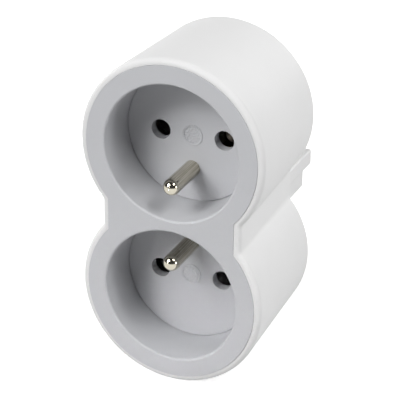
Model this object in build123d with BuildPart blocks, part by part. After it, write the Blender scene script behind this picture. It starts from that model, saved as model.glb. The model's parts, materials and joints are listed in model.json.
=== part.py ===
from build123d import *
import os
from math import radians, tan

# A two-way mains adapter for round-pin plugs with an earth pin in the socket.
# X runs along each pair of contact holes, Z is up and Y points into the wall.
# The origin is the middle of the plug's end face, midway between its two pins.

# Plug and socket interface, in millimetres
contact_pitch = 19.0
earth_offset = 10.0
pin_diameter = 4.8
plug_pin_length = 19.0
recess_diameter = 39.4
recess_depth = 14.5
contact_hole_clearance = 0.5
earth_hole_clearance = 0.6
earth_pin_height = 15.6

# Casing
socket_pitch = 43.0
casing_diameter = 54.2
waist_set_in = 6.45
casing_depth = 40.9
casing_draft = 2.2
casing_wall = 2.2
rear_wall = 2.2
rim_width = 1.9
rim_round = 1.5
rear_round = 1.2
waist_corner = 1.2

# Plug stem
stem_diameter = 37.2
stem_length = 18.5
stem_wall = 2.2
stem_end_wall = 3.0
stem_round = 0.6
rib_reach = 2.15
rib_height = 4.8
rib_round = 0.6

# Socket insert
face_stand = 0.2
plate_thickness = 2.2
insert_clearance = 0.06
insert_corner = 0.4
cup_wall = 1.5
floor_thickness = 2.8
mouth_round = 0.6
face_bevel = 0.05
floor_groove_width = 0.2
floor_groove_depth = 0.3
ring_diameter = 6.1
ring_width = 0.6
ring_height = 0.15

# Conductors
strip_thickness = 0.8
strip_width = 7.0
strip_overhang = 4.0
strip_pad_height = 2.1
strip_pad_width = 2.5
strip_pad_from_centre = 5.0
contact_sheet = 0.6
contact_width = 7.6
contact_height = 7.0
contact_depth = 9.5
contact_pinch = 0.4
contact_flare = 1.1
contact_bend = 1.2
earth_strip_width = 6.0
earth_strip_overhang = 3.5
earth_sleeve_length = 12.0
earth_sleeve_set_back = 4.0
earth_sleeve_slot = 1.6
earth_foot_length = 6.0

# Pins, rivets and screws
plug_pin_step = 0.3
spigot_diameter = 3.4
pin_head_diameter = 5.2
pin_head_height = 0.9
collar_diameter = 7.6
collar_thickness = 1.5
collar_gap = 0.5
bridge_thickness = 3.0
bridge_gap = 0.6
rivet_diameter = 2.0
rivet_head_diameter = 3.4
rivet_head_height = 0.6
screw_diameter = 2.6
screw_length = 14.0
screw_head_diameter = 5.6
screw_head_height = 2.0
screw_slot_width = 0.9
screw_slot_depth = 1.1
screw_from_centre = 15.5
screw_seat_depth = 4.5
boss_wall = 1.0
boss_length = 5.5
fit_clearance = 0.05
assembly_clearance = 0.1

# Sizes that follow from the ones above
casing_waist = casing_diameter - 2 * waist_set_in
contact_hole_diameter = pin_diameter + 2 * contact_hole_clearance
earth_hole_diameter = pin_diameter + 2 * earth_hole_clearance
contact_neck = pin_diameter - contact_pinch
contact_mouth = contact_neck + 2 * contact_flare
plug_pin_root = pin_diameter + 2 * plug_pin_step
stem_flats = contact_pitch + collar_diameter + 2 * (stem_wall + collar_gap)
rib_span = stem_flats + 2 * rib_reach

# Places along Y, from the plug's end face towards the front
casing_rear = -stem_length
casing_front = casing_rear - casing_depth
rear_wall_inside = casing_rear - rear_wall
face_y = casing_front - face_stand
seat_y = face_y + plate_thickness
floor_y = face_y + recess_depth
floor_back = floor_y + floor_thickness
strip_back = rear_wall_inside - strip_pad_height
strip_front = strip_back - strip_thickness
contact_back = strip_front - contact_sheet
earth_strip_back = floor_back + strip_thickness
boss_meeting = rear_wall_inside - boss_length
screw_seat = casing_rear - screw_seat_depth
collar_front = -stem_end_wall - collar_thickness

# Places across the front
socket_z = socket_pitch / 2
contact_x = contact_pitch / 2
earth_pin_z = socket_z - earth_offset
screw_z = socket_z + screw_from_centre
pin_radius = pin_diameter / 2
stem_radius = stem_diameter / 2
draft_slope = tan(radians(casing_draft))
sleeve_radius = pin_radius + contact_sheet
earth_foot_z = earth_offset - sleeve_radius - contact_sheet
bridge_height = 2 * (earth_foot_z - strip_thickness - bridge_gap)
pad_z = socket_z - strip_pad_from_centre
rivet_y = -earth_sleeve_set_back - earth_sleeve_length - earth_foot_length / 2
boss_radius = screw_head_diameter / 2 + assembly_clearance + boss_wall

socket_centres = [(0, socket_z), (0, -socket_z)]
contact_places = [(x, z) for x in (contact_x, -contact_x) for z in (socket_z, -socket_z)]
screw_places = [(0, screw_z), (0, -screw_z)]
pad_places = [(x, z) for x in (contact_x, -contact_x) for z in (pad_z, -pad_z)]
earth_pin_places = [(0, earth_pin_z), (0, -earth_pin_z)]

os.makedirs("parts", exist_ok=True)


def facing(y):
    """Plane across the adapter at y, with X to the right, Z up and its normal to the front."""
    return Plane.XZ.offset(-y)


def keep(piece, name):
    """Labels a finished piece and writes its file."""
    piece.part.label = name
    export_step(piece.part, f"parts/{name}.step")


def figure_eight(sketch, inset, corner):
    """Draws the casing's front outline, moved inwards by inset, with its waist corners rounded by corner."""
    with Locations(*socket_centres):
        Circle(casing_diameter / 2 - inset)
    Rectangle(casing_waist - 2 * inset, socket_pitch)
    waist_points = sketch.vertices().filter_by(lambda point: abs(point.Y) < socket_pitch / 4)
    fillet(waist_points, corner)


def inset_at(y):
    """How far the drafted side wall has come inwards at y."""
    return (y - casing_front) * draft_slope


def riveted_spigot(shoulder, rivet_face, outwards):
    """Half outline of a pin's hidden end, from its axis over the rivet head to the shoulder."""
    head_end = rivet_face - outwards * pin_head_height
    return [
        (0, head_end),
        (pin_head_diameter / 2, head_end),
        (pin_head_diameter / 2, rivet_face),
        (spigot_diameter / 2, rivet_face),
        (spigot_diameter / 2, shoulder),
    ]


def rivet(seat, grip):
    """Adds a rivet whose head stands behind the seat plane and whose shank fills the grip before it."""
    with BuildSketch(seat) as shank:
        Circle(rivet_diameter / 2)
    extrude(shank.sketch, amount=grip)
    with BuildSketch(seat) as head:
        Circle(rivet_head_diameter / 2)
    extrude(head.sketch, amount=-rivet_head_height)


# Rear casing: a drafted figure-eight shell, closed at the rear, with the plug stem behind it
with BuildPart() as rear_casing:
    with BuildSketch(facing(casing_rear)) as rear_outline:
        figure_eight(rear_outline, inset_at(casing_rear), waist_corner + inset_at(casing_rear))
    extrude(amount=casing_depth, taper=-casing_draft)
    fillet(rear_casing.faces().sort_by(Axis.Y)[0].edges(), rim_round)
    fillet(rear_casing.faces().sort_by(Axis.Y)[-1].edges(), rear_round)

    # The stem is round, with two flats that each carry a rib level with the pins
    with BuildSketch(facing(0)):
        Circle(stem_radius)
        Rectangle(stem_flats, stem_diameter, mode=Mode.INTERSECT)
    extrude(amount=stem_length + rear_wall)
    fillet(rear_casing.faces().sort_by(Axis.Y)[-1].edges(), stem_round)
    with BuildSketch(facing(0)):
        RectangleRounded(rib_span, rib_height, rib_round)
    extrude(amount=stem_length + rear_wall)

    # The hollow: a seat for the insert, the room behind it and the inside of the stem
    with BuildSketch(facing(seat_y)) as seat_outline:
        figure_eight(seat_outline, rim_width - insert_clearance, insert_corner - insert_clearance)
    extrude(amount=seat_y - casing_front, mode=Mode.SUBTRACT)
    with BuildSketch(facing(rear_wall_inside)) as room_outline:
        room_inset = casing_wall + inset_at(rear_wall_inside)
        figure_eight(room_outline, room_inset, waist_corner + room_inset)
    extrude(amount=rear_wall_inside - seat_y, taper=-casing_draft, mode=Mode.SUBTRACT)
    with BuildSketch(facing(-stem_end_wall)):
        Circle(stem_radius - stem_wall)
        Rectangle(stem_flats - 2 * stem_wall, stem_diameter, mode=Mode.INTERSECT)
    extrude(amount=rear_wall - rear_wall_inside - stem_end_wall, mode=Mode.SUBTRACT)

    # Pads under the two strips, and bosses round the screws
    with BuildSketch(facing(rear_wall_inside)):
        with Locations(*pad_places):
            Rectangle(strip_width, strip_pad_width)
    extrude(amount=strip_pad_height)
    with BuildSketch(facing(casing_rear)):
        with Locations(*screw_places):
            Circle(boss_radius)
    extrude(amount=rear_wall + boss_length)

    # Holes for the screws, the plug pins and the wall socket's earth pin
    with BuildSketch(facing(casing_rear)):
        with Locations(*screw_places):
            Circle(screw_head_diameter / 2 + assembly_clearance)
    extrude(amount=screw_seat_depth, mode=Mode.SUBTRACT)
    with BuildSketch(facing(screw_seat)):
        with Locations(*screw_places):
            Circle(screw_diameter / 2 + assembly_clearance)
    extrude(amount=screw_seat - boss_meeting, mode=Mode.SUBTRACT)
    with BuildSketch(facing(0)):
        with Locations((contact_x, 0), (-contact_x, 0)):
            Circle(plug_pin_root / 2 + fit_clearance)
        with Locations((0, earth_offset)):
            Circle(earth_hole_diameter / 2)
    extrude(amount=stem_end_wall, mode=Mode.SUBTRACT)
keep(rear_casing, "rear_casing")

# Socket insert: the front plate with two cups and the screw bosses behind them
with BuildPart() as socket_insert:
    with BuildSketch(facing(seat_y)) as plate_outline:
        figure_eight(plate_outline, rim_width, insert_corner)
    extrude(amount=plate_thickness)
    chamfer(socket_insert.faces().sort_by(Axis.Y)[0].edges(), face_bevel)
    with BuildSketch(facing(floor_back)):
        with Locations(*socket_centres):
            Circle(recess_diameter / 2 + cup_wall)
    extrude(amount=floor_back - seat_y)
    with BuildSketch(facing(boss_meeting - assembly_clearance)):
        with Locations(*screw_places):
            Circle(boss_radius)
            Circle(screw_diameter / 2 + fit_clearance, mode=Mode.SUBTRACT)
    extrude(amount=boss_meeting - assembly_clearance - floor_back)

    # The two recesses, with rounded mouths
    with BuildSketch(facing(floor_y)):
        with Locations(*socket_centres):
            Circle(recess_diameter / 2)
    extrude(amount=recess_depth, mode=Mode.SUBTRACT)
    fillet(socket_insert.faces().sort_by(Axis.Y)[0].inner_wires().edges(), mouth_round)

    # A narrow groove round each floor, where it meets the wall
    with BuildSketch(facing(floor_y + floor_groove_depth)):
        with Locations(*socket_centres):
            Circle(recess_diameter / 2)
            Circle(recess_diameter / 2 - floor_groove_width, mode=Mode.SUBTRACT)
    extrude(amount=floor_groove_depth, mode=Mode.SUBTRACT)

    # Holes through the floors, and a plain raised ring between each pair
    with BuildSketch(facing(floor_back)):
        with Locations(*contact_places):
            Circle(contact_hole_diameter / 2)
        with Locations(*earth_pin_places):
            Circle(spigot_diameter / 2 + fit_clearance)
    extrude(amount=floor_thickness, mode=Mode.SUBTRACT)
    with BuildSketch(facing(floor_y)):
        with Locations(*socket_centres):
            Circle(ring_diameter / 2)
            Circle(ring_diameter / 2 - ring_width, mode=Mode.SUBTRACT)
    extrude(amount=ring_height)
keep(socket_insert, "socket_insert")

# Earth pins: each stands on its floor, has a round tip and is riveted behind the earth strip
earth_pin_tip = floor_y - earth_pin_height
for name, z in [("upper_earth_pin", earth_pin_z), ("lower_earth_pin", -earth_pin_z)]:
    with BuildPart() as earth_pin:
        with BuildSketch(Plane((0, 0, z))):
            with BuildLine():
                Polyline(
                    (0, earth_pin_tip),
                    *riveted_spigot(floor_y, earth_strip_back, -1),
                    (pin_radius, floor_y),
                    (pin_radius, earth_pin_tip + pin_radius),
                )
                TangentArc((pin_radius, earth_pin_tip + pin_radius), (0, earth_pin_tip), tangent=(0, -1))
            make_face()
        revolve(axis=Axis((0, 0, z), (0, 1, 0)))
    keep(earth_pin, name)

# Plug pins: each has a thicker root in the stem, a collar behind the end wall and a riveted end
for name, x in [("line_plug_pin", contact_x), ("neutral_plug_pin", -contact_x)]:
    with BuildPart() as plug_pin:
        with BuildSketch(Plane((x, 0, 0))):
            with BuildLine():
                Polyline(
                    (0, plug_pin_length),
                    *riveted_spigot(strip_back, strip_front, 1),
                    (plug_pin_root / 2, strip_back),
                    (plug_pin_root / 2, collar_front),
                    (collar_diameter / 2, collar_front),
                    (collar_diameter / 2, -stem_end_wall),
                    (plug_pin_root / 2, -stem_end_wall),
                    (plug_pin_root / 2, 0),
                    (pin_radius, 0),
                    (pin_radius, plug_pin_length - pin_radius),
                )
                TangentArc((pin_radius, plug_pin_length - pin_radius), (0, plug_pin_length), tangent=(0, 1))
            make_face()
        revolve(axis=Axis((x, 0, 0), (0, 1, 0)))
    keep(plug_pin, name)

# Pin bridge: backs up both collars inside the stem
with BuildPart() as pin_bridge:
    with BuildSketch(facing(collar_front)):
        RectangleRounded(stem_flats - 2 * (stem_wall + assembly_clearance), bridge_height, rib_round)
        with Locations((contact_x, 0), (-contact_x, 0)):
            Circle(plug_pin_root / 2 + fit_clearance, mode=Mode.SUBTRACT)
    extrude(amount=bridge_thickness)
keep(pin_bridge, "pin_bridge")

# Line and neutral strips: straight bars behind the contacts, one on each plug pin
for name, x in [("line_strip", contact_x), ("neutral_strip", -contact_x)]:
    with BuildPart() as strip:
        with BuildSketch(facing(strip_back)):
            with Locations((x, 0)):
                SlotOverall(socket_pitch + 2 * strip_overhang, strip_width, rotation=90)
                Circle(spigot_diameter / 2 + fit_clearance, mode=Mode.SUBTRACT)
            with Locations((x, socket_z), (x, -socket_z)):
                Circle(rivet_diameter / 2 + fit_clearance, mode=Mode.SUBTRACT)
        extrude(amount=strip_thickness)
    keep(strip, name)

# Spring contacts: a folded sheet whose two jaws pinch in at the neck and flare at the mouth
contact_names = ["upper_line_contact", "lower_line_contact", "upper_neutral_contact", "lower_neutral_contact"]
for name, (x, z) in zip(contact_names, contact_places):
    mouth_y = strip_front - contact_depth
    neck_y = mouth_y + contact_mouth / 2
    with BuildPart() as contact:
        with BuildSketch(Plane((x, 0, z - contact_height / 2))):
            with BuildLine():
                FilletPolyline(
                    (-contact_mouth / 2, mouth_y),
                    (-contact_neck / 2, neck_y),
                    (contact_sheet - contact_width / 2, contact_back),
                    (contact_width / 2 - contact_sheet, contact_back),
                    (contact_neck / 2, neck_y),
                    (contact_mouth / 2, mouth_y),
                    radius=contact_bend,
                )
                offset(amount=contact_sheet, side=Side.LEFT)
            make_face()
        extrude(amount=contact_height)
        with BuildSketch(facing(strip_front)):
            with Locations((x, z)):
                Circle(rivet_diameter / 2 + fit_clearance)
        extrude(amount=contact_sheet, mode=Mode.SUBTRACT)
    keep(contact, name)

# Contact rivets: one through each contact and its strip
with BuildPart() as contact_rivets:
    for x, z in contact_places:
        rivet(Plane((x, strip_back, z), x_dir=(1, 0, 0), z_dir=(0, -1, 0)), strip_thickness + contact_sheet)
keep(contact_rivets, "contact_rivets")

# Earth strip: a bar between the two earth pins with a leg that runs back into the stem
leg_end = -earth_sleeve_set_back
with BuildPart() as earth_strip:
    with BuildSketch(facing(earth_strip_back)):
        SlotOverall(2 * (earth_pin_z + earth_strip_overhang), earth_strip_width, rotation=90)
        with Locations(*earth_pin_places):
            Circle(spigot_diameter / 2 + fit_clearance, mode=Mode.SUBTRACT)
    extrude(amount=strip_thickness)
    with BuildSketch(Plane.XY.offset(earth_foot_z - strip_thickness)):
        with Locations((0, (leg_end + floor_back) / 2)):
            Rectangle(earth_strip_width, leg_end - floor_back)
        with Locations((0, rivet_y)):
            Circle(rivet_diameter / 2 + fit_clearance, mode=Mode.SUBTRACT)
    extrude(amount=strip_thickness)
keep(earth_strip, "earth_strip")

# Plug earth contact: a slotted sleeve on a flat foot, behind the earth hole of the stem
with BuildPart() as plug_earth_contact:
    with BuildSketch(facing(-earth_sleeve_set_back)):
        with Locations((0, earth_offset)):
            Circle(sleeve_radius)
        with Locations((0, earth_offset - sleeve_radius / 2)):
            Rectangle(2 * contact_sheet, sleeve_radius)
        with Locations((0, earth_offset)):
            Circle(pin_radius, mode=Mode.SUBTRACT)
        with Locations((0, earth_offset + sleeve_radius)):
            Rectangle(earth_sleeve_slot, sleeve_radius, mode=Mode.SUBTRACT)
    extrude(amount=earth_sleeve_length)
    with BuildSketch(Plane.XY.offset(earth_foot_z)):
        with Locations((0, -earth_sleeve_set_back - (earth_sleeve_length + earth_foot_length) / 2)):
            Rectangle(earth_strip_width, earth_sleeve_length + earth_foot_length)
        with Locations((0, rivet_y)):
            Circle(rivet_diameter / 2 + fit_clearance, mode=Mode.SUBTRACT)
    extrude(amount=contact_sheet)
keep(plug_earth_contact, "plug_earth_contact")

# Earth contact rivet: through the foot and the leg below it
with BuildPart() as earth_contact_rivet:
    rivet(Plane((0, rivet_y, earth_foot_z - strip_thickness)), strip_thickness + contact_sheet)
keep(earth_contact_rivet, "earth_contact_rivet")

# Casing screws: pan heads in the rear counterbores, shanks in the bosses of the insert
with BuildPart() as casing_screws:
    with BuildSketch(facing(screw_seat + screw_head_height)):
        with Locations(*screw_places):
            Circle(screw_head_diameter / 2)
    extrude(amount=screw_head_height)
    with BuildSketch(facing(screw_seat)):
        with Locations(*screw_places):
            Circle(screw_diameter / 2)
    extrude(amount=screw_length)
    with BuildSketch(facing(screw_seat + screw_head_height)):
        with Locations(*screw_places):
            Rectangle(screw_diameter + screw_slot_width, screw_slot_width)
            Rectangle(screw_slot_width, screw_diameter + screw_slot_width)
    extrude(amount=screw_slot_depth, mode=Mode.SUBTRACT)
keep(casing_screws, "casing_screws")
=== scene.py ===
# %% [markdown]
# A two-way socket adapter
# The solids come ready made from the CAD pack: a white casing with a plug stem, a grey insert with two
# socket cups, the pins and the conductors inside. This lesson loads them as a fixed frame and gives every
# piece the finish of its real material. The screws get a thread and a cross recess, which the solids
# leave out. Then come the floor, the studio light and the camera of a product photo.

# %% Load the packed solids
import json
from math import cos, radians, sin

import bpy
import numpy as np
from mathutils import Matrix, Vector


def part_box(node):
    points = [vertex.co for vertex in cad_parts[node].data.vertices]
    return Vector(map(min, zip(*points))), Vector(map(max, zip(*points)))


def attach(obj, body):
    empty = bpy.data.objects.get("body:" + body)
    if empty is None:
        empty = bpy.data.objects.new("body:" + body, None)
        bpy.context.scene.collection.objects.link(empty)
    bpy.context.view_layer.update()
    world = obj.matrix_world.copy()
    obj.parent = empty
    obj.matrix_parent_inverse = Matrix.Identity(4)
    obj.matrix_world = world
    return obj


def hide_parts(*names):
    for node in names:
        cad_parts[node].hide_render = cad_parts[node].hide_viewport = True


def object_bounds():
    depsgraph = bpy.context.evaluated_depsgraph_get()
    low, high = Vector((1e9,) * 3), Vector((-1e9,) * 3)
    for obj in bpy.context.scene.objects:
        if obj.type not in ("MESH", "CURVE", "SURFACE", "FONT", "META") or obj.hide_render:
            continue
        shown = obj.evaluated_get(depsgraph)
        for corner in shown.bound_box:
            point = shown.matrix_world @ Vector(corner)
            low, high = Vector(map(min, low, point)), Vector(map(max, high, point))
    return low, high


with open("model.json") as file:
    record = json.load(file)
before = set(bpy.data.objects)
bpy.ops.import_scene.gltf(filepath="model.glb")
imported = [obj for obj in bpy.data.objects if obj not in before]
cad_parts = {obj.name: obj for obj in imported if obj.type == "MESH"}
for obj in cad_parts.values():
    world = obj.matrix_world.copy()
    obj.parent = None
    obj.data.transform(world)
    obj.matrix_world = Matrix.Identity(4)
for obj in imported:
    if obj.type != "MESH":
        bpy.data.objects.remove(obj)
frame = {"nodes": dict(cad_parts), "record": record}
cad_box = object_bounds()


def in_mm(corners):
    """Corners in metres, as lists of millimetres that are easy to read."""
    return [[round(1000 * value, 1) for value in corner] for corner in corners]


nodes = frame["nodes"]
print("solids:", len(nodes), "box in mm:", in_mm(cad_box))

# %% [markdown]
# Shader arithmetic
# A finish is a small calculation for each point of a surface. Blender wants it as a graph of nodes, which
# could be written out node by node, but that is slow to write and hard to read. So one class takes a
# node's output socket and gives it Python's operators, and a line such as 0.4 + 0.1 * grain adds the Math
# nodes by itself. Any other node comes from its node method.

# %% One class for shader arithmetic
class Wire:
    """One output of a node tree. Arithmetic on it adds Math nodes to the same tree."""

    def __init__(self, tree, socket):
        self.tree = tree
        self.socket = socket

    def node(self, kind, settings=None, sockets=None, output=0):
        """Adds a node of this kind: first its settings, then the values or links of its sockets."""
        made = self.tree.nodes.new(kind)
        for name, value in (settings or {}).items():
            setattr(made, name, value)
        for name, value in (sockets or {}).items():
            if isinstance(value, Wire):
                self.tree.links.new(value.socket, made.inputs[name])
            else:
                made.inputs[name].default_value = value
        return Wire(self.tree, made.outputs[output] if len(made.outputs) else None)

    def math(self, operation, *values):
        """Adds a Math node that works on these values or wires."""
        return self.node("ShaderNodeMath", {"operation": operation}, dict(enumerate(values)))

    def __add__(self, other):
        return self.math("ADD", self, other)

    __radd__ = __add__

    def __sub__(self, other):
        return self.math("SUBTRACT", self, other)

    def __rsub__(self, other):
        return self.math("SUBTRACT", other, self)

    def __mul__(self, other):
        return self.math("MULTIPLY", self, other)

    __rmul__ = __mul__


print("reflected operators:", [name for name in vars(Wire) if name.startswith("__r")])

# %% [markdown]
# The two ends of a finish
# Every finish on the adapter begins with the place of a point and ends in a shader. The place could come
# from a UV map, but the solids have none, and the grain of a moulding doesn't follow the edges of a
# surface anyway. So it is the point's Object coordinates, in metres. The shader is always Principled,
# because it serves for plastic and for metal.

# %% Begin and end a finish
def new_finish(name):
    """An empty material, and the Object coordinates of the surface it is put on."""
    material = bpy.data.materials.new(name)
    material.use_nodes = True
    tree = material.node_tree
    tree.nodes.clear()
    place = Wire(tree, tree.nodes.new("ShaderNodeTexCoord").outputs["Object"])
    return material, place


def shine(place, sockets):
    """Ends a finish with the Principled shader, fed by the named sockets."""
    shader = place.node("ShaderNodeBsdfPrincipled", {}, sockets)
    place.node("ShaderNodeOutputMaterial", {}, {"Surface": shader})


print("materials that came with the solids:", len(bpy.data.materials))

# %% [markdown]
# Clouds, colours and relief
# Real surfaces are never quite even, so three helpers are used again and again. One gives cloudy values,
# one turns a value into a colour between two colours, and one turns a height into a relief that catches
# the light. The height could move the mesh instead, but a grain of a few thousandths of a millimetre
# would need millions of faces.

# %% Clouds, colours and relief
# The Mix node's sockets for colours go by number, because their names repeat.
mix_factor, mix_low, mix_high = 0, 6, 7
mix_colour = 2


def noise(place, clouds_per_metre, detail):
    """Cloudy values between 0 and 1 at these coordinates, with that many finer layers on top."""
    sockets = {"Vector": place, "Scale": clouds_per_metre, "Detail": detail}
    return place.node("ShaderNodeTexNoise", {}, sockets)


def tint(mask, low, high):
    """The colour low where the mask is 0, high where it is 1."""
    sockets = {mix_factor: mask, mix_low: (*low, 1), mix_high: (*high, 1)}
    return mask.node("ShaderNodeMix", {"data_type": "RGBA"}, sockets, mix_colour)


def bump(height):
    """A normal for a surface that stands up by this height, in metres."""
    return height.node("ShaderNodeBump", {}, {"Height": height, "Distance": 1.0})


print("helpers:", [helper.__name__ for helper in (noise, tint, bump)])

# %% [markdown]
# White moulding
# The casing is a satin, injection moulded plastic. The mould's spark-eroded face leaves a grain of a few
# tenths of a millimetre, far too fine to model, so it is a bump. One flat colour would look like paper.
# The real colour hardly varies, but slow clouds show where the melt flowed, and the gloss varies a little
# more than the colour does.

# %% Finish of the casing
plastic_ior = 1.5
flow_clouds = 55.0
gloss_clouds = 420.0
gloss_range = 0.12
noise_middle = 0.5


def moulded(name, dark, light, roughness, grain_size, grain_height, relief=None):
    """Moulded plastic: slow clouds between two colours, uneven gloss, a fine grain and any relief."""
    material, place = new_finish(name)
    flow = noise(place, flow_clouds, detail=3.0)
    gloss = noise(place, gloss_clouds, detail=2.0)
    height = grain_height * noise(place, 1 / grain_size, detail=3.0)
    if relief:
        height = height + relief(place)
    shine(place, {
        "Base Color": tint(flow, dark, light),
        "Roughness": roughness + gloss_range * (gloss - noise_middle),
        "IOR": plastic_ior,
        "Normal": bump(height),
    })
    return material


casing_white = moulded(
    "casing_white", dark=(0.71, 0.71, 0.71), light=(0.75, 0.75, 0.75),
    roughness=0.58, grain_size=0.0004, grain_height=0.000006,
)
print("made", casing_white.name)

# %% [markdown]
# Rings on the socket floors
# Between the holes of each socket the insert has a small raised ring. The ring is in the solid, but the
# mould was also etched to a coarse stipple inside it, and the ring's top slopes inwards. Both are about a
# tenth of a millimetre high. They could be modelled, but as a relief in the finish they cost no faces:
# the slope and a noise count only near the socket's axis.

# %% Relief in the rings
mounts = {mount["name"]: mount for mount in frame["record"]["mounts"]}
socket_height = mounts["upper_contact_holes"]["pos_m"][2]
ring_inside = 0.00245
ring_outside = 0.00305
ring_slope = 0.00014
stipple_size = 0.0005
stipple_height = 0.0001
grain_foot, grain_top = 0.3, 0.7


def axis(place, name):
    """One coordinate, X, Y or Z, of these coordinates."""
    return place.node("ShaderNodeSeparateXYZ", {}, {0: place}, name)


def ramp(value, low, high):
    """0 below low, 1 above high and a smooth rise between."""
    sockets = {"Value": value, "From Min": low, "From Max": high}
    return value.node("ShaderNodeMapRange", {"interpolation_type": "SMOOTHSTEP"}, sockets)


def ring_relief(place):
    """Height in and on the rings, from the distance to the nearer socket's axis.

    The top of the ring rises outwards by ring_slope, and rounded grains stand within it.
    """
    across = axis(place, "X")
    upright = place.math("ABSOLUTE", axis(place, "Z")) - socket_height
    distance = place.math("SQRT", across * across + upright * upright)
    inside = place.math("LESS_THAN", distance, ring_inside)
    grains = ramp(noise(place, 1 / stipple_size, detail=0.0), grain_foot, grain_top)
    return ring_slope * ramp(distance, ring_inside, ring_outside) + stipple_height * inside * grains


print("sockets at z in mm:", round(1000 * socket_height, 2), "and", round(-1000 * socket_height, 2))

# %% [markdown]
# Two more mouldings
# The insert is the same kind of plastic as the casing, in a cool light grey and with a duller face. The
# bridge inside the stem is a third moulding, in a natural off-white. Each could have a graph of its own,
# but they differ only in numbers, so the casing's function serves for them too.

# %% Finish of the insert and of the bridge
insert_grey = moulded(
    "insert_grey", dark=(0.50, 0.505, 0.525), light=(0.53, 0.535, 0.555),
    roughness=0.6, grain_size=0.0003, grain_height=0.000006, relief=ring_relief,
)
bridge_natural = moulded(
    "bridge_natural", dark=(0.66, 0.65, 0.60), light=(0.70, 0.69, 0.64),
    roughness=0.5, grain_size=0.0005, grain_height=0.00001,
)
print("made", insert_grey.name, bridge_natural.name)

# %% [markdown]
# Nickel on the pins
# The pins are cut from drawn bar, rounded at the tip and nickel plated. Drawing leaves streaks along the
# bar, which lies along Y. They could be painted on a picture that is wrapped round each pin. A noise that
# is squeezed across the bar and left long in Y gives the same streaks with no picture. They darken the
# metal in thin lines, change its gloss and, very slightly, its normal. The tips are turned and polished
# afterwards, so the streaks stop where the straight body of the pin ends.

# %% Streaks along a bar
end_blend = 0.0003
streaks_along = 60.0


def stretched(place, factors):
    """These coordinates multiplied by one factor for each axis."""
    return place.node("ShaderNodeMapping", {}, {"Vector": place, "Scale": factors})


def between(value, low, high):
    """1 between low and high, 0 outside, with a smooth change at both ends."""
    begun = ramp(value, low - end_blend, low + end_blend)
    ended = ramp(value, high - end_blend, high + end_blend)
    return begun * (1 - ended)


tip_radius = 0.0024
pin_body = (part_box("upper_earth_pin")[0].y + tip_radius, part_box("line_plug_pin")[1].y - tip_radius)
print("streaks from y in mm:", round(1000 * pin_body[0], 1), "to", round(1000 * pin_body[1], 1))

# %% [markdown]
# Plated bar
# The plating itself is bright metal with a warm tone. A metal's look comes from what it mirrors, so its
# base colour could stay flat, but the streaks give the pins their drawn look. On a polished tip the
# colour lies midway between the dark and the light one.

# %% Finish of the pins
plating_clouds = 300.0
streak_contrast = 4.0
streak_level = 0.38
tip_lift = 2.0
streak_gloss = 0.12
cloud_gloss = 0.05


def drawn(name, dark, light, roughness, streak_size, streak_height):
    """Drawn and plated bar: streaks along Y on its body, and slow clouds in the plating."""
    material, place = new_finish(name)
    on_body = between(axis(place, "Y"), *pin_body)
    cloud = noise(place, plating_clouds, detail=3.0)
    squeezed = stretched(place, (1 / streak_size, streaks_along, 1 / streak_size))
    streaks = on_body * noise(squeezed, clouds_per_metre=1.0, detail=3.0)
    lines = streak_contrast * (streaks - streak_level) + tip_lift * (1 - on_body)
    shine(place, {
        "Base Color": tint(lines, dark, light),
        "Metallic": 1.0,
        "Roughness": roughness + streak_gloss * streaks + cloud_gloss * cloud,
        "Normal": bump(streak_height * streaks),
    })
    return material


pin_nickel = drawn(
    "pin_nickel", dark=(0.41, 0.38, 0.30), light=(0.69, 0.655, 0.56),
    roughness=0.06, streak_size=0.00025, streak_height=0.000003,
)
print("made", pin_nickel.name)

# %% [markdown]
# Rolled strip
# The strips and spring contacts are cut from rolled sheet, brass for the strips and bronze for the
# springs. Rolling leaves streaks along the sheet, which runs along Z here, and handling leaves warm brown
# clouds. The function for bars could be turned round for it, but sheet has no polished tips, so a shorter
# one is enough. The springs get a near-black colour, far darker than bronze: painted shade, which makes
# the contact holes look black from outside.

# %% Finish of the strips and springs
tarnish_clouds = 160.0
sheet_streaks = (5000.0, 5000.0, 90.0)
sheet_gloss = 0.15
sheet_streak_height = 0.000002


def rolled(name, dark, light, roughness):
    """Rolled sheet metal: streaks along Z and darker clouds of tarnish."""
    material, place = new_finish(name)
    tarnish = noise(place, tarnish_clouds, detail=4.0)
    streaks = noise(stretched(place, sheet_streaks), clouds_per_metre=1.0, detail=2.0)
    shine(place, {
        "Base Color": tint(tarnish, dark, light),
        "Metallic": 1.0,
        "Roughness": roughness + sheet_gloss * streaks,
        "Normal": bump(sheet_streak_height * streaks),
    })
    return material


strip_brass = rolled(
    "strip_brass", dark=(0.58, 0.40, 0.15), light=(0.72, 0.54, 0.24), roughness=0.2,
)
# Painted shade: the springs' near-black colour stands in for the shade deep in the contact holes.
bronze_painted_dark_shade = rolled(
    "bronze_painted_dark_shade", dark=(0.07, 0.052, 0.035), light=(0.13, 0.098, 0.065), roughness=0.45,
)
print("made", strip_brass.name, bronze_painted_dark_shade.name)

# %% [markdown]
# Casing screws
# Two pan-head screws hold the adapter together from behind. A plain cylinder with a cross cut in it would
# do from far away, but a screw is known by its tapered cross recess, its crowned head and its thread. So
# the whole skin of a screw is one sheet that is wrapped round its axis: rows run from the bottom of the
# recess over the head and down the shank to the tip, columns run round the axis. Its place comes from the
# solid that it stands for.

# %% Measure the screws
screw_low, screw_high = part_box("casing_screws")
head_radius = (screw_high.x - screw_low.x) / 2
head_height = 0.0020
shank_radius = 0.0013
screw_middle = screw_high.z - head_radius
screw_seat = screw_high.y - head_height
shank_length = screw_seat - screw_low.y
print("shank in mm:", round(1000 * shank_length, 2), "upper axis at z:", round(1000 * screw_middle, 2))

# %% [markdown]
# Columns of the skin
# Seen along the axis, the recess is a plus sign. Evenly spaced columns alone would cut across its
# corners, and very many of them would be a waste on so small a piece. So each corner has a column of its
# own, between even ones that keep the head round.

# %% Outline of the cross recess
arm_length = 0.58 * head_radius
arm_width = 0.32 * head_radius
even_columns = 44
angle_digits = 6
smallest = 1e-9


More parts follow.
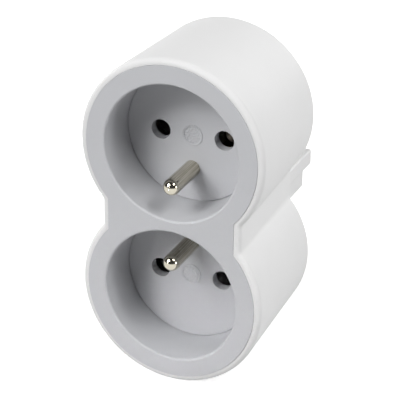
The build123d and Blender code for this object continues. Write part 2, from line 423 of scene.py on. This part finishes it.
def plus_outline(angle):
    """Distance from the middle to the edge of a plus sign: the farther edge of its two crossed bars.

    The level bar ends at arm length / |cos| or at half width / |sin|, whichever is nearer. The upright bar
    is the same with the two lengths exchanged.
    """
    across = np.maximum(np.abs(np.cos(angle)), smallest)
    upright = np.maximum(np.abs(np.sin(angle)), smallest)
    half_width = arm_width / 2
    level_bar = np.minimum(arm_length / across, half_width / upright)
    upright_bar = np.minimum(half_width / across, arm_length / upright)
    return np.maximum(level_bar, upright_bar)


corner = np.arctan2(arm_width / 2, arm_length)
quarter = np.array([0.0, corner, 0.25 * np.pi, 0.5 * np.pi - corner])
corners = np.add.outer(0.5 * np.pi * np.arange(4), quarter).ravel()
evenly = np.linspace(0, 2 * np.pi, even_columns, endpoint=False)
angle = np.unique(np.round(np.concatenate([evenly, corners]), angle_digits))
edge = plus_outline(angle)
print("columns:", angle.size, "widest reach of the recess in mm:", round(1000 * edge.max(), 2))

# %% [markdown]
# Rows of the head
# The recess has a flat floor and walls that lean outwards, so that the punch that makes it comes out
# again. The top of the head is crowned and its underside is flat, where it presses on the casing. A cut
# with a Boolean could make the recess, but it leaves long thin faces that shade badly. Here its edge is a
# row.

# %% Rows of the recess and the head
crown = 0.3 * head_height
recess_depth = 0.6 * head_height
core_radius = 0.76 * shank_radius
floor_share = np.array([0.0, 0.45, 0.8])[:, None]
crown_rows = 8


def head_rows(edge):
    """Radius and height of the rows over the head, with height 0 under it.

    Recess floor: radius = share * edge, all at one depth. The wall leans from the last share to the edge.
    Crown: height = head height - crown * (radius / head radius) squared.
    """
    floor_radius = floor_share * edge
    floor_height = np.full_like(floor_radius, head_height - recess_depth)
    outward = np.linspace(0, 1, crown_rows)[:, None]
    crown_radius = edge + outward * (head_radius - edge)
    crown_height = head_height - crown * (crown_radius / head_radius) ** 2
    under_radius = np.array([head_radius, core_radius])[:, None] * np.ones_like(edge)
    under_height = np.zeros_like(under_radius)
    radius = np.concatenate([floor_radius, crown_radius, under_radius])
    return radius, np.concatenate([floor_height, crown_height, under_height])


head_skin = head_rows(edge)
print("rows over the head:", len(head_skin[0]))

# %% [markdown]
# Rows of the shank
# A thread is a ridge that climbs round a core. It could be a profile carried along a helix, but that
# would run through the core and leave hidden faces. In one sheet the ridge is only a larger radius: each
# point's radius follows from how far it lies from the helix.

# %% Rows of the thread and the tip
pitch = 0.8 * shank_radius
tip_length = 1.4 * shank_radius
ridge_steepness = 4
rows_per_turn = 8


def shank_rows(angle):
    """Radius and height of the rows from under the head to the tip.

    Radius = (core + ridge) * taper. The ridge is its full height * max(0, 1 - steepness * |turn|), where
    turn is the distance to the helix, in turns. The taper falls from 1 to 0 along the tip.
    """
    row_count = int(rows_per_turn * shank_length / pitch)
    drop = np.linspace(0, shank_length, row_count)[1:, None]
    turn = (drop / pitch + angle / (2 * np.pi)) % 1.0 - 0.5
    ridge = (shank_radius - core_radius) * np.maximum(0, 1 - ridge_steepness * np.abs(turn))
    taper = np.clip((shank_length - drop) / tip_length, 0, 1)
    return (core_radius + ridge) * taper, -drop * np.ones_like(angle)


shank_skin = shank_rows(angle)
radius, height = (np.concatenate(rows) for rows in zip(head_skin, shank_skin))
print("rows of a screw:", len(radius), "turns of its thread:", round(shank_length / pitch, 1))

# %% [markdown]
# From rows to a mesh
# A screw is solid, so its skin has to close. The rows are wrapped round an axis along Y, and the last
# column joins the first. The first and the last row have no radius: merging doubles could close them
# afterwards, but it is simpler to keep one point of each and to put a fan of triangles round it.

# %% Wrap and sew a skin
def wrapped(middle):
    """Points of a screw whose axis lies at z = middle: x = r cos a, y = seat + h, z = middle + r sin a."""
    across = radius * np.cos(angle)
    upright = middle + radius * np.sin(angle)
    points = np.stack([across, screw_seat + height, upright], axis=2)
    return np.concatenate([points[0, :1], points[1:-1].reshape(-1, 3), points[-1, :1]])


def sewn_faces(rows, columns):
    """Quads between the points of neighbouring rows and columns, and the triangles of the two fans."""
    number = 1 + np.arange((rows - 2) * columns).reshape(rows - 2, columns)
    beside = np.roll(number, -1, axis=1)
    tip = number[-1, -1] + 1
    quads = np.stack([number[:-1], beside[:-1], beside[1:], number[1:]], axis=2).reshape(-1, 4)
    top_fan = np.stack([np.full(columns, 0), beside[0], number[0]], axis=1)
    tip_fan = np.stack([np.full(columns, tip), number[-1], beside[-1]], axis=1)
    return quads, np.concatenate([top_fan, tip_fan])


quads, fans = sewn_faces(*radius.shape)
print("faces of a screw:", len(quads) + len(fans))

# %% [markdown]
# Screws in place
# The real screws are zinc plated steel, made from drawn wire, so the pins' function gives their finish
# too. Both screws are one piece, as in the solid that they stand for. A second object could share the
# mesh, but a finished piece sits at the origin with its place in its points. Smooth shading hides the
# columns, and edges that turn sharply stay sharp.

# %% Put the screws in
sharp_angle = 40.0


def new_piece(name, points, faces):
    """An object at the origin with a mesh of these points and faces."""
    mesh = bpy.data.meshes.new(name)
    mesh.from_pydata(points.tolist(), [], faces)
    made = bpy.data.objects.new(name, mesh)
    bpy.context.scene.collection.objects.link(made)
    return made


screw_zinc = drawn(
    "screw_zinc", dark=(0.52, 0.53, 0.55), light=(0.62, 0.62, 0.62),
    roughness=0.26, streak_size=0.0002, streak_height=0.000002,
)
upper_screw, lower_screw = wrapped(screw_middle), wrapped(-screw_middle)
next_number = len(upper_screw)
all_quads = np.concatenate([quads, quads + next_number])
all_fans = np.concatenate([fans, fans + next_number])
screw_points = np.concatenate([upper_screw, lower_screw])
screws = new_piece("threaded_screws", screw_points, all_quads.tolist() + all_fans.tolist())
screws.data.shade_smooth()
screws.data.set_sharp_from_angle(angle=radians(sharp_angle))
screws.data.materials.append(screw_zinc)
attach(screws, "root")
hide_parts("casing_screws")
print("faces of both screws:", len(screws.data.polygons))

# %% [markdown]
# Finishes on the solids
# Each solid of the pack has one material slot. It could be filled by hand, solid by solid, but the record
# already says which finish belongs there, so one loop does it and forgets none. The solid's mesh stays as
# it is; only the material in its slot changes.

# %% Put the finishes on
finish_of_slot = {
    "casing": casing_white,
    "insert": insert_grey,
    "nickel": pin_nickel,
    "insulator": bridge_natural,
    "brass": strip_brass,
    "bronze": bronze_painted_dark_shade,
    "screw_steel": screw_zinc,
}
for part in frame["record"]["subparts"]:
    solid = nodes[part["node"]]
    solid.data.materials.clear()
    solid.data.materials.append(finish_of_slot[part["material_slot"]])

# %% [markdown]
# Floor
# A product photo stands its object on white paper. A paper that curves up behind the object would do as
# well, but the world can be the white behind it, so the floor is one flat sheet just under the adapter.

# %% Make the floor
def grid_faces(rows, columns):
    """A face between each four neighbours of a grid of rows by columns points."""
    number = np.arange(rows * columns).reshape(rows, columns)
    corners = (number[:-1, :-1], number[:-1, 1:], number[1:, 1:], number[1:, :-1])
    return np.stack([corner.ravel() for corner in corners], axis=1)


floor_reach = 3.0
floor_gap = 0.0002
floor_lines = 5
floor_height = cad_box[0].z - floor_gap
ruler = np.linspace(-floor_reach, floor_reach, floor_lines)
across, along = np.meshgrid(ruler, ruler)
floor_points = np.stack([across, along, np.full_like(across, floor_height)], axis=2).reshape(-1, 3)
floor = new_piece("paper_floor", floor_points, grid_faces(floor_lines, floor_lines).tolist())
print("floor at z in mm:", round(1000 * floor_height, 2))

# %% [markdown]
# Paper
# The open paper of a product photo is white, and a soft shadow lies on it. More light would make it
# white, but would burn out the casing. So a camera ray sees the paper with a glow of its own on top of
# the lamps' light, which keeps the shadow, and shiny metal sees it the same way. For the light that
# bounces off it the paper is duller, because the cups of the real object get little light from below.

# %% Finish of the paper
paper_fibres = 900.0
paper_glow = 0.8
white = (1, 1, 1, 1)


def ray_is(place, kind):
    """1 for rays of this kind, such as Camera or Glossy, and 0 for all others."""
    return place.node("ShaderNodeLightPath", {}, {}, f"Is {kind} Ray")


def either(first, second):
    """1 where one of the two values is 1."""
    return first.math("MAXIMUM", first, second)


paper, place = new_finish("paper")
looked_at = either(either(ray_is(place, "Camera"), ray_is(place, "Glossy")), ray_is(place, "Transmission"))
fibre = noise(place, paper_fibres, detail=3.0)
paper_tint = tint(fibre, low=(0.42, 0.42, 0.42), high=(0.48, 0.48, 0.48))
dull_paper = place.node("ShaderNodeBsdfDiffuse", {}, {"Color": paper_tint})
glow = place.node("ShaderNodeEmission", {}, {"Color": white, "Strength": paper_glow})
bright_paper = place.node("ShaderNodeAddShader", {}, {0: dull_paper, 1: glow})
seen_paper = place.node("ShaderNodeMixShader", {}, {0: looked_at, 1: dull_paper, 2: bright_paper})
place.node("ShaderNodeOutputMaterial", {}, {"Surface": seen_paper})
floor.data.materials.append(paper)
print("made", paper.name)

# %% [markdown]
# A lamp for the studio
# Studio light comes from soft boxes: lamps with a large white face, whose shadows have soft edges. A
# point lamp's shadows would be hard, so each soft box is one of Blender's area lamps. It is placed by two
# angles and a distance from what it lights, as a photographer would say it, and it turns its face there.

# %% A soft box
middle = (cad_box[0] + cad_box[1]) / 2
lamp_distance = 3.0
open_beam = 180.0


def direction(azimuth, elevation):
    """The unit vector from the object towards these angles, in degrees; azimuth 0 is in front."""
    level, rise = radians(azimuth), radians(elevation)
    return Vector((sin(level) * cos(rise), -cos(level) * cos(rise), sin(rise)))


def soft_box(name, azimuth, elevation, side, power, target=middle, distance=lamp_distance, beam=open_beam):
    """A square lamp of that side, in metres, that looks at the target, with that beam angle in degrees."""
    lamp = bpy.data.lights.new(name, "AREA")
    lamp.size = side
    lamp.energy = power
    lamp.spread = radians(beam)
    made = bpy.data.objects.new(name, lamp)
    way = direction(azimuth, elevation)
    made.location = target + distance * way
    made.rotation_euler = way.to_track_quat("Z", "Y").to_euler()
    bpy.context.scene.collection.objects.link(made)
    return made


print("lamps look at mm:", [round(1000 * value, 1) for value in middle])

# %% [markdown]
# Studio
# The earth pins throw two soft shadows, so two key lamps stand high in front, both to the left of the
# camera, and a lower one reaches further into the cups. One lamp on the left and two on the right light
# the flanks. Those on the right graze the face, so they reach only the outer part of the cups' walls.
# Behind, a wide lamp lights the top and a small one the back. A weak, narrow beam lifts the lower socket.
# A picture of a studio could light everything at once, but light adds up: with single lamps, each one's
# share can be set until every part of the adapter has the grey of the photo.

# %% Make the lights
beam_drop = 0.8
lower_face = Vector((0.0, cad_box[0].y, beam_drop * cad_box[0].z))
lamps = [
    soft_box("key_left", azimuth=-33.0, elevation=41.0, side=1.1, power=43.0),
    soft_box("key_front", azimuth=-14.0, elevation=38.0, side=0.5, power=14.0),
    soft_box("key_low", azimuth=-33.0, elevation=22.0, side=1.1, power=19.5),
    soft_box("left_side", azimuth=-110.0, elevation=10.0, side=1.0, power=27.0),
    soft_box("lower_beam", azimuth=-22.0, elevation=13.0, side=0.06, power=0.0024,
             target=lower_face, distance=1.0, beam=6.0),
    soft_box("upper_right", azimuth=66.0, elevation=52.0, side=0.9, power=32.0),
    soft_box("right_side", azimuth=88.0, elevation=8.0, side=0.9, power=31.5),
    soft_box("behind", azimuth=162.0, elevation=34.0, side=2.4, power=30.0),
    soft_box("back", azimuth=170.0, elevation=4.0, side=0.4, power=13.0),
]
print("lamps:", [lamp.name for lamp in lamps])

# %% [markdown]
# World
# Behind the paper the photo is white too. A white backdrop could stand there, but a world that is white
# to the camera needs no edge or corner. Shiny metal sees it white behind the adapter and as a dim room on
# the camera's side, which gives the pins their dark band. It lights nothing else, because an even fill
# would wash out the shade in the cups.

# %% Make the world
room_dim = 0.06
room_start, room_end = -0.2, 0.3
studio = bpy.data.worlds.new("studio")
studio.use_nodes = True
tree = studio.node_tree
tree.nodes.clear()
sky = Wire(tree, tree.nodes.new("ShaderNodeTexCoord").outputs["Generated"])
room = room_dim + (1 - room_dim) * ramp(axis(sky, "Y"), room_start, room_end)
seen = either(ray_is(sky, "Camera"), ray_is(sky, "Transmission"))
mirrored = (1 - seen) * ray_is(sky, "Glossy")
backdrop = sky.node("ShaderNodeBackground", {}, {"Color": white, "Strength": seen + mirrored * room})
sky.node("ShaderNodeOutputWorld", {}, {"Surface": backdrop})
bpy.context.scene.world = studio
bpy.context.scene.view_settings.view_transform = "Standard"
print("world nodes:", len(tree.nodes))

# %% [markdown]
# Camera
# The photo was taken from the right and from above, through a long lens. The camera could be turned by
# hand until the picture looks alike, but a fit to the outlines of the casing, the cups and the holes is
# closer. It gave the two angles, a slight roll, the distance and the lens.

# %% Make the camera
view_azimuth = 23.919
view_elevation = 25.833
view_roll = 0.657
view_distance = 0.472547
view_target = Vector((0.008817, -0.0594, 0.009847))
lens = bpy.data.cameras.new("photo_lens")
lens.sensor_width = 36.0
lens.lens = 158.95
lens.clip_start = 0.05
lens.clip_end = 20.0
camera = bpy.data.objects.new("photo_camera", lens)
backwards = direction(view_azimuth, view_elevation)
level_right = Vector((0, 0, 1)).cross(backwards).normalized()
level_up = backwards.cross(level_right)
roll = radians(view_roll)
right = cos(roll) * level_right + sin(roll) * level_up
up = cos(roll) * level_up - sin(roll) * level_right
turned = Matrix((right, up, backwards)).transposed()
camera.matrix_world = Matrix.Translation(view_target + view_distance * backwards) @ turned.to_4x4()
bpy.context.scene.collection.objects.link(camera)
bpy.context.scene.camera = camera
print("camera at mm:", [round(1000 * value, 1) for value in camera.matrix_world.translation])

# %% [markdown]
